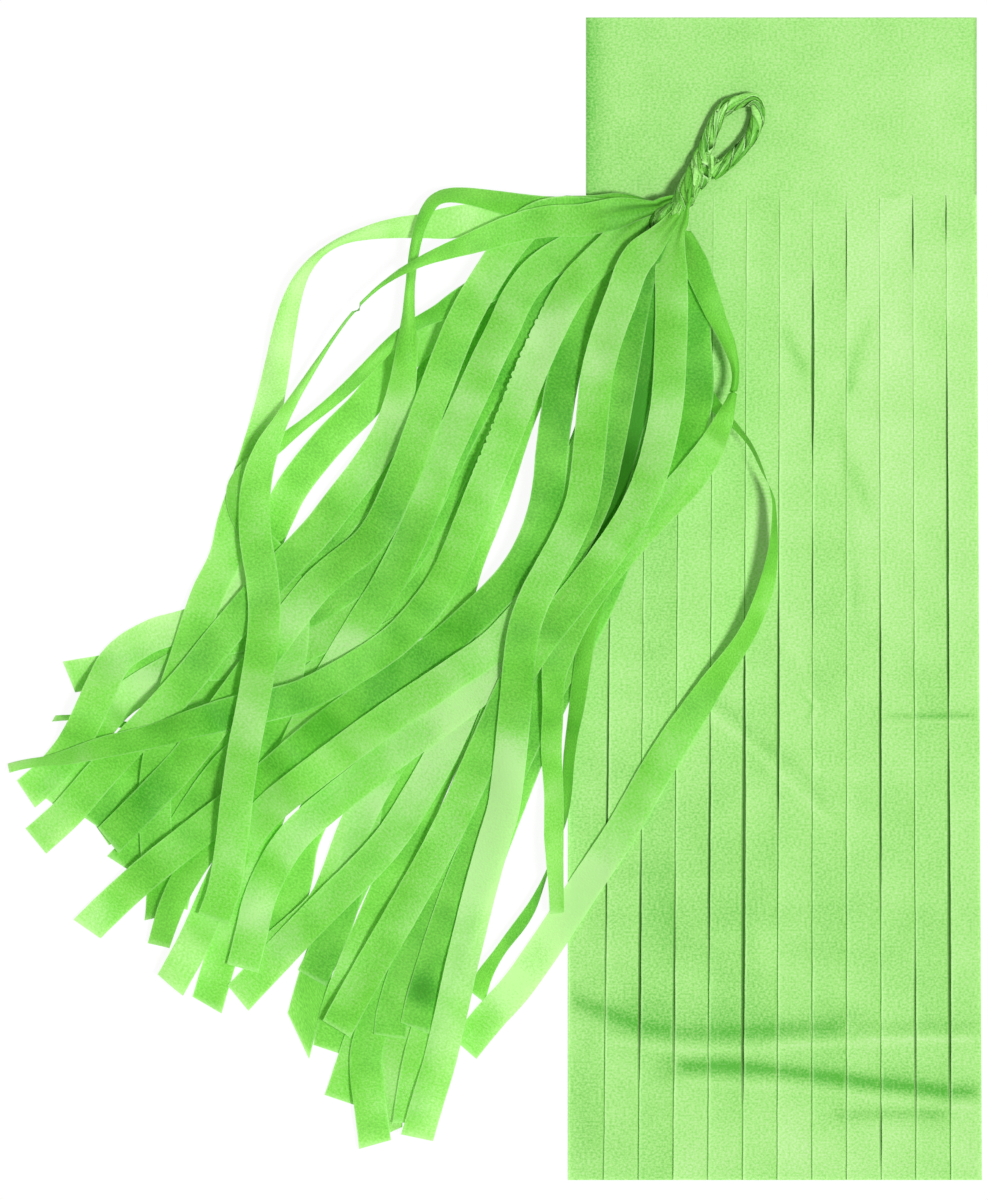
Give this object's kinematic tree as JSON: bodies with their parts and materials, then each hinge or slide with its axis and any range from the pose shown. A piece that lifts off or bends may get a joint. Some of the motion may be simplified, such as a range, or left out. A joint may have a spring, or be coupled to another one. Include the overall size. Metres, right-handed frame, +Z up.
{
  "type": "tissue paper tassel garland",
  "caption": "Green tissue paper tassel with a twisted hanging loop and fanned-out strips, lying flat on the folded, pre-cut tissue sheet that it is rolled from",
  "frame": {"origin": "middle of the whole part's footprint, on the table that it lies on", "axes": "X across the sheet's strips, Y from the strips' free ends up to the folded edge, Z up from the table"},
  "size_m": [0.2928, 0.35, 0.0198],
  "materials": {
    "flat_tissue": "thin green tissue, flat and lightly creased",
    "tassel_tissue": "thin green tissue, cut into loose strips",
    "twisted_tissue": "green tissue twisted tight, so many layers look darker"
  },
  "bodies": {
    "sheet": {"header_band": "flat_tissue", "back_ply": "flat_tissue", "sheet_strip_01": "flat_tissue", "sheet_strip_02": "flat_tissue", "sheet_strip_03": "flat_tissue", "sheet_strip_04": "flat_tissue", "sheet_strip_05": "flat_tissue", "sheet_strip_06": "flat_tissue"},
    "tassel_head": {"twisted_loop": "twisted_tissue", "twisted_neck": "twisted_tissue", "gathered_root": "twisted_tissue"},
    "tassel_strip_01": {"tassel_strip_01": "tassel_tissue"},
    "tassel_strip_02": {"tassel_strip_02": "tassel_tissue"},
    "tassel_strip_03": {"tassel_strip_03": "tassel_tissue"},
    "tassel_strip_04": {"tassel_strip_04": "tassel_tissue"},
    "tassel_strip_05": {"tassel_strip_05": "tassel_tissue"},
    "tassel_strip_06": {"tassel_strip_06": "tassel_tissue"},
    "tassel_strip_07": {"tassel_strip_07": "tassel_tissue"},
    "tassel_strip_08": {"tassel_strip_08": "tassel_tissue"},
    "tassel_strip_09": {"tassel_strip_09": "tassel_tissue"},
    "tassel_strip_10": {"tassel_strip_10": "tassel_tissue"},
    "tassel_strip_11": {"tassel_strip_11": "tassel_tissue"},
    "tassel_strip_12": {"tassel_strip_12": "tassel_tissue"},
    "tassel_strip_13": {"tassel_strip_13": "tassel_tissue"},
    "tassel_strip_14": {"tassel_strip_14": "tassel_tissue"},
    "tassel_strip_15": {"tassel_strip_15": "tassel_tissue"},
    "tassel_strip_16": {"tassel_strip_16": "tassel_tissue"},
    "tassel_strip_17": {"tassel_strip_17": "tassel_tissue"},
    "tassel_strip_18": {"tassel_strip_18": "tassel_tissue"},
    "tassel_strip_19": {"tassel_strip_19": "tassel_tissue"},
    "tassel_strip_20": {"tassel_strip_20": "tassel_tissue"},
    "tassel_strip_21": {"tassel_strip_21": "tassel_tissue"},
    "tassel_strip_22": {"tassel_strip_22": "tassel_tissue"},
    "tassel_strip_23": {"tassel_strip_23": "tassel_tissue"},
    "tassel_strip_24": {"tassel_strip_24": "tassel_tissue"},
    "tassel_strip_25": {"tassel_strip_25": "tassel_tissue"},
    "tassel_strip_26": {"tassel_strip_26": "tassel_tissue"},
    "tassel_strip_27": {"tassel_strip_27": "tassel_tissue"},
    "tassel_strip_28": {"tassel_strip_28": "tassel_tissue"},
    "tassel_strip_29": {"tassel_strip_29": "tassel_tissue"},
    "tassel_strip_30": {"tassel_strip_30": "tassel_tissue"},
    "tassel_strip_31": {"tassel_strip_31": "tassel_tissue"},
    "tassel_strip_32": {"tassel_strip_32": "tassel_tissue"},
    "tassel_strip_33": {"tassel_strip_33": "tassel_tissue"},
    "tassel_strip_34": {"tassel_strip_34": "tassel_tissue"},
    "tassel_strip_35": {"tassel_strip_35": "tassel_tissue"},
    "tassel_strip_36": {"tassel_strip_36": "tassel_tissue"},
    "tassel_strip_37": {"tassel_strip_37": "tassel_tissue"},
    "tassel_strip_38": {"tassel_strip_38": "tassel_tissue"},
    "sheet_strip_07": {"sheet_strip_07": "flat_tissue"},
    "sheet_strip_08": {"sheet_strip_08": "flat_tissue"},
    "sheet_strip_09": {"sheet_strip_09": "flat_tissue"},
    "sheet_strip_10": {"sheet_strip_10": "flat_tissue"},
    "sheet_strip_11": {"sheet_strip_11": "flat_tissue"},
    "sheet_strip_12": {"sheet_strip_12": "flat_tissue"}
  },
  "joints": [
    {"name": "tassel_lift", "type": "slide", "parent": "sheet", "child": "tassel_head", "axis": [0, 0, 1], "range_m": [0, 0.06]},
    {"name": "fan_01", "type": "hinge", "parent": "tassel_head", "child": "tassel_strip_01", "pos_m": [0.05115, 0.11589, 0.00125], "axis": [-0.7193, 0.6947, 0], "range_deg": [0, 1.2]},
    {"name": "fan_02", "type": "hinge", "parent": "tassel_head", "child": "tassel_strip_02", "pos_m": [0.04907, 0.1179, 0.00174], "axis": [-0.7193, 0.6947, 0], "range_deg": [0, 2.2]},
    {"name": "fan_03", "type": "hinge", "parent": "tassel_head", "child": "tassel_strip_03", "pos_m": [0.04907, 0.1179, 0.00244], "axis": [-0.7193, 0.6947, 0], "range_deg": [0, 3.3]},
    {"name": "fan_04", "type": "hinge", "parent": "tassel_head", "child": "tassel_strip_04", "pos_m": [0.04907, 0.1179, 0.00306], "axis": [-0.7193, 0.6947, 0], "range_deg": [0, 4.3]},
    {"name": "fan_05", "type": "hinge", "parent": "tassel_head", "child": "tassel_strip_05", "pos_m": [0.05115, 0.11589, 0.00182], "axis": [-0.7193, 0.6947, 0], "range_deg": [0, 5.4]},
    {"name": "fan_06", "type": "hinge", "parent": "tassel_head", "child": "tassel_strip_06", "pos_m": [0.05115, 0.11589, 0.00258], "axis": [-0.7193, 0.6947, 0], "range_deg": [0, 6.4]},
    {"name": "fan_07", "type": "hinge", "parent": "tassel_head", "child": "tassel_strip_07", "pos_m": [0.05115, 0.11589, 0.00338], "axis": [-0.7193, 0.6947, 0], "range_deg": [0, 7.5]},
    {"name": "fan_08", "type": "hinge", "parent": "tassel_head", "child": "tassel_strip_08", "pos_m": [0.05115, 0.11589, 0.00421], "axis": [-0.7193, 0.6947, 0], "range_deg": [0, 8.5]},
    {"name": "fan_09", "type": "hinge", "parent": "tassel_head", "child": "tassel_strip_09", "pos_m": [0.05115, 0.11589, 0.00497], "axis": [-0.7193, 0.6947, 0], "range_deg": [0, 9.6]},
    {"name": "fan_10", "type": "hinge", "parent": "tassel_head", "child": "tassel_strip_10", "pos_m": [0.05324, 0.11387, 0.00137], "axis": [-0.7193, 0.6947, 0], "range_deg": [0, 10.6]},
    {"name": "fan_11", "type": "hinge", "parent": "tassel_head", "child": "tassel_strip_11", "pos_m": [0.05324, 0.11387, 0.00357], "axis": [-0.7193, 0.6947, 0], "range_deg": [0, 11.7]},
    {"name": "fan_12", "type": "hinge", "parent": "tassel_head", "child": "tassel_strip_12", "pos_m": [0.05532, 0.11186, 0.00504], "axis": [-0.7193, 0.6947, 0], "range_deg": [0, 12.7]},
    {"name": "fan_13", "type": "hinge", "parent": "tassel_head", "child": "tassel_strip_13", "pos_m": [0.05532, 0.11186, 0.00715], "axis": [-0.7193, 0.6947, 0], "range_deg": [0, 13.8]},
    {"name": "fan_14", "type": "hinge", "parent": "tassel_head", "child": "tassel_strip_14", "pos_m": [0.05532, 0.11186, 0.00869], "axis": [-0.7193, 0.6947, 0], "range_deg": [0, 14.8]},
    {"name": "fan_15", "type": "hinge", "parent": "tassel_head", "child": "tassel_strip_15", "pos_m": [0.05324, 0.11387, 0.00545], "axis": [-0.7193, 0.6947, 0], "range_deg": [0, 15.9]},
    {"name": "fan_16", "type": "hinge", "parent": "tassel_head", "child": "tassel_strip_16", "pos_m": [0.05324, 0.11387, 0.00906], "axis": [-0.7193, 0.6947, 0], "range_deg": [0, 16.9]},
    {"name": "fan_17", "type": "hinge", "parent": "tassel_head", "child": "tassel_strip_17", "pos_m": [0.05532, 0.11186, 0.01032], "axis": [-0.7193, 0.6947, 0], "range_deg": [0, 18]},
    {"name": "fan_18", "type": "hinge", "parent": "tassel_head", "child": "tassel_strip_18", "pos_m": [0.05532, 0.11186, 0.0114], "axis": [-0.7193, 0.6947, 0], "range_deg": [0, 19]},
    {"name": "fan_19", "type": "hinge", "parent": "tassel_head", "child": "tassel_strip_19", "pos_m": [0.05324, 0.11387, 0.01027], "axis": [-0.7193, 0.6947, 0], "range_deg": [0, 20.1]},
    {"name": "fan_20", "type": "hinge", "parent": "tassel_head", "child": "tassel_strip_20", "pos_m": [0.05324, 0.11387, 0.01146], "axis": [-0.7193, 0.6947, 0], "range_deg": [0, 21.2]},
    {"name": "fan_21", "type": "hinge", "parent": "tassel_head", "child": "tassel_strip_21", "pos_m": [0.05115, 0.11589, 0.0057], "axis": [-0.7193, 0.6947, 0], "range_deg": [0, 22.2]},
    {"name": "fan_22", "type": "hinge", "parent": "tassel_head", "child": "tassel_strip_22", "pos_m": [0.05115, 0.11589, 0.00636], "axis": [-0.7193, 0.6947, 0], "range_deg": [0, 23.3]},
    {"name": "fan_23", "type": "hinge", "parent": "tassel_head", "child": "tassel_strip_23", "pos_m": [0.04907, 0.1179, 0.00366], "axis": [-0.7193, 0.6947, 0], "range_deg": [0, 24.3]},
    {"name": "fan_24", "type": "hinge", "parent": "tassel_head", "child": "tassel_strip_24", "pos_m": [0.04907, 0.1179, 0.00487], "axis": [-0.7193, 0.6947, 0], "range_deg": [0, 25.4]},
    {"name": "fan_25", "type": "hinge", "parent": "tassel_head", "child": "tassel_strip_25", "pos_m": [0.04907, 0.1179, 0.00646], "axis": [-0.7193, 0.6947, 0], "range_deg": [0, 26.4]},
    {"name": "fan_26", "type": "hinge", "parent": "tassel_head", "child": "tassel_strip_26", "pos_m": [0.04907, 0.1179, 0.00785], "axis": [-0.7193, 0.6947, 0], "range_deg": [0, 27.5]},
    {"name": "fan_27", "type": "hinge", "parent": "tassel_head", "child": "tassel_strip_27", "pos_m": [0.05324, 0.11387, 0.01258], "axis": [-0.7193, 0.6947, 0], "range_deg": [0, 28.5]},
    {"name": "fan_28", "type": "hinge", "parent": "tassel_head", "child": "tassel_strip_28", "pos_m": [0.04907, 0.1179, 0.00877], "axis": [-0.7193, 0.6947, 0], "range_deg": [0, 29.6]},
    {"name": "fan_29", "type": "hinge", "parent": "tassel_head", "child": "tassel_strip_29", "pos_m": [0.05115, 0.11589, 0.0073], "axis": [-0.7193, 0.6947, 0], "range_deg": [0, 30.6]},
    {"name": "fan_30", "type": "hinge", "parent": "tassel_head", "child": "tassel_strip_30", "pos_m": [0.04907, 0.1179, 0.00956], "axis": [-0.7193, 0.6947, 0], "range_deg": [0, 31.7]},
    {"name": "fan_31", "type": "hinge", "parent": "tassel_head", "child": "tassel_strip_31", "pos_m": [0.05324, 0.11387, 0.01364], "axis": [-0.7193, 0.6947, 0], "range_deg": [0, 32.7]},
    {"name": "fan_32", "type": "hinge", "parent": "tassel_head", "child": "tassel_strip_32", "pos_m": [0.05324, 0.11387, 0.01461], "axis": [-0.7193, 0.6947, 0], "range_deg": [0, 33.8]},
    {"name": "fan_33", "type": "hinge", "parent": "tassel_head", "child": "tassel_strip_33", "pos_m": [0.04907, 0.1179, 0.01036], "axis": [-0.7193, 0.6947, 0], "range_deg": [0, 34.8]},
    {"name": "fan_34", "type": "hinge", "parent": "tassel_head", "child": "tassel_strip_34", "pos_m": [0.05532, 0.11186, 0.01236], "axis": [-0.7193, 0.6947, 0], "range_deg": [0, 35.9]},
    {"name": "fan_35", "type": "hinge", "parent": "tassel_head", "child": "tassel_strip_35", "pos_m": [0.05532, 0.11186, 0.01334], "axis": [-0.7193, 0.6947, 0], "range_deg": [0, 36.9]},
    {"name": "fan_36", "type": "hinge", "parent": "tassel_head", "child": "tassel_strip_36", "pos_m": [0.05532, 0.11186, 0.01433], "axis": [-0.7193, 0.6947, 0], "range_deg": [0, 38]},
    {"name": "fan_37", "type": "hinge", "parent": "tassel_head", "child": "tassel_strip_37", "pos_m": [0.05532, 0.11186, 0.01517], "axis": [-0.7193, 0.6947, 0], "range_deg": [0, 39]},
    {"name": "fan_38", "type": "hinge", "parent": "tassel_head", "child": "tassel_strip_38", "pos_m": [0.05324, 0.11387, 0.01554], "axis": [-0.7193, 0.6947, 0], "range_deg": [0, 40]},
    {"name": "tongue_07", "type": "hinge", "parent": "sheet", "child": "sheet_strip_07", "pos_m": [0.09051, 0.1211, 0.00068], "axis": [-1, 0, 0], "range_deg": [0, 120]},
    {"name": "tongue_08", "type": "hinge", "parent": "sheet", "child": "sheet_strip_08", "pos_m": [0.10051, 0.1211, 0.00068], "axis": [-1, 0, 0], "range_deg": [0, 120]},
    {"name": "tongue_09", "type": "hinge", "parent": "sheet", "child": "sheet_strip_09", "pos_m": [0.11051, 0.1211, 0.00068], "axis": [-1, 0, 0], "range_deg": [0, 120]},
    {"name": "tongue_10", "type": "hinge", "parent": "sheet", "child": "sheet_strip_10", "pos_m": [0.12051, 0.1211, 0.00068], "axis": [-1, 0, 0], "range_deg": [0, 120]},
    {"name": "tongue_11", "type": "hinge", "parent": "sheet", "child": "sheet_strip_11", "pos_m": [0.13051, 0.1211, 0.00068], "axis": [-1, 0, 0], "range_deg": [0, 120]},
    {"name": "tongue_12", "type": "hinge", "parent": "sheet", "child": "sheet_strip_12", "pos_m": [0.14026, 0.1211, 0.00068], "axis": [-1, 0, 0], "range_deg": [0, 120]}
  ],
  "couplings": [
    {"joint": "fan_01", "follows": "fan_38", "ratio": 0.0263},
    {"joint": "fan_02", "follows": "fan_38", "ratio": 0.0526},
    {"joint": "fan_03", "follows": "fan_38", "ratio": 0.0789},
    {"joint": "fan_04", "follows": "fan_38", "ratio": 0.1053},
    {"joint": "fan_05", "follows": "fan_38", "ratio": 0.1316},
    {"joint": "fan_06", "follows": "fan_38", "ratio": 0.1579},
    {"joint": "fan_07", "follows": "fan_38", "ratio": 0.1842},
    {"joint": "fan_08", "follows": "fan_38", "ratio": 0.2105},
    {"joint": "fan_09", "follows": "fan_38", "ratio": 0.2368},
    {"joint": "fan_10", "follows": "fan_38", "ratio": 0.2632},
    {"joint": "fan_11", "follows": "fan_38", "ratio": 0.2895},
    {"joint": "fan_12", "follows": "fan_38", "ratio": 0.3158},
    {"joint": "fan_13", "follows": "fan_38", "ratio": 0.3421},
    {"joint": "fan_14", "follows": "fan_38", "ratio": 0.3684},
    {"joint": "fan_15", "follows": "fan_38", "ratio": 0.3947},
    {"joint": "fan_16", "follows": "fan_38", "ratio": 0.4211},
    {"joint": "fan_17", "follows": "fan_38", "ratio": 0.4474},
    {"joint": "fan_18", "follows": "fan_38", "ratio": 0.4737},
    {"joint": "fan_19", "follows": "fan_38", "ratio": 0.5},
    {"joint": "fan_20", "follows": "fan_38", "ratio": 0.5263},
    {"joint": "fan_21", "follows": "fan_38", "ratio": 0.5526},
    {"joint": "fan_22", "follows": "fan_38", "ratio": 0.5789},
    {"joint": "fan_23", "follows": "fan_38", "ratio": 0.6053},
    {"joint": "fan_24", "follows": "fan_38", "ratio": 0.6316},
    {"joint": "fan_25", "follows": "fan_38", "ratio": 0.6579},
    {"joint": "fan_26", "follows": "fan_38", "ratio": 0.6842},
    {"joint": "fan_27", "follows": "fan_38", "ratio": 0.7105},
    {"joint": "fan_28", "follows": "fan_38", "ratio": 0.7368},
    {"joint": "fan_29", "follows": "fan_38", "ratio": 0.7632},
    {"joint": "fan_30", "follows": "fan_38", "ratio": 0.7895},
    {"joint": "fan_31", "follows": "fan_38", "ratio": 0.8158},
    {"joint": "fan_32", "follows": "fan_38", "ratio": 0.8421},
    {"joint": "fan_33", "follows": "fan_38", "ratio": 0.8684},
    {"joint": "fan_34", "follows": "fan_38", "ratio": 0.8947},
    {"joint": "fan_35", "follows": "fan_38", "ratio": 0.9211},
    {"joint": "fan_36", "follows": "fan_38", "ratio": 0.9474},
    {"joint": "fan_37", "follows": "fan_38", "ratio": 0.9737}
  ]
}
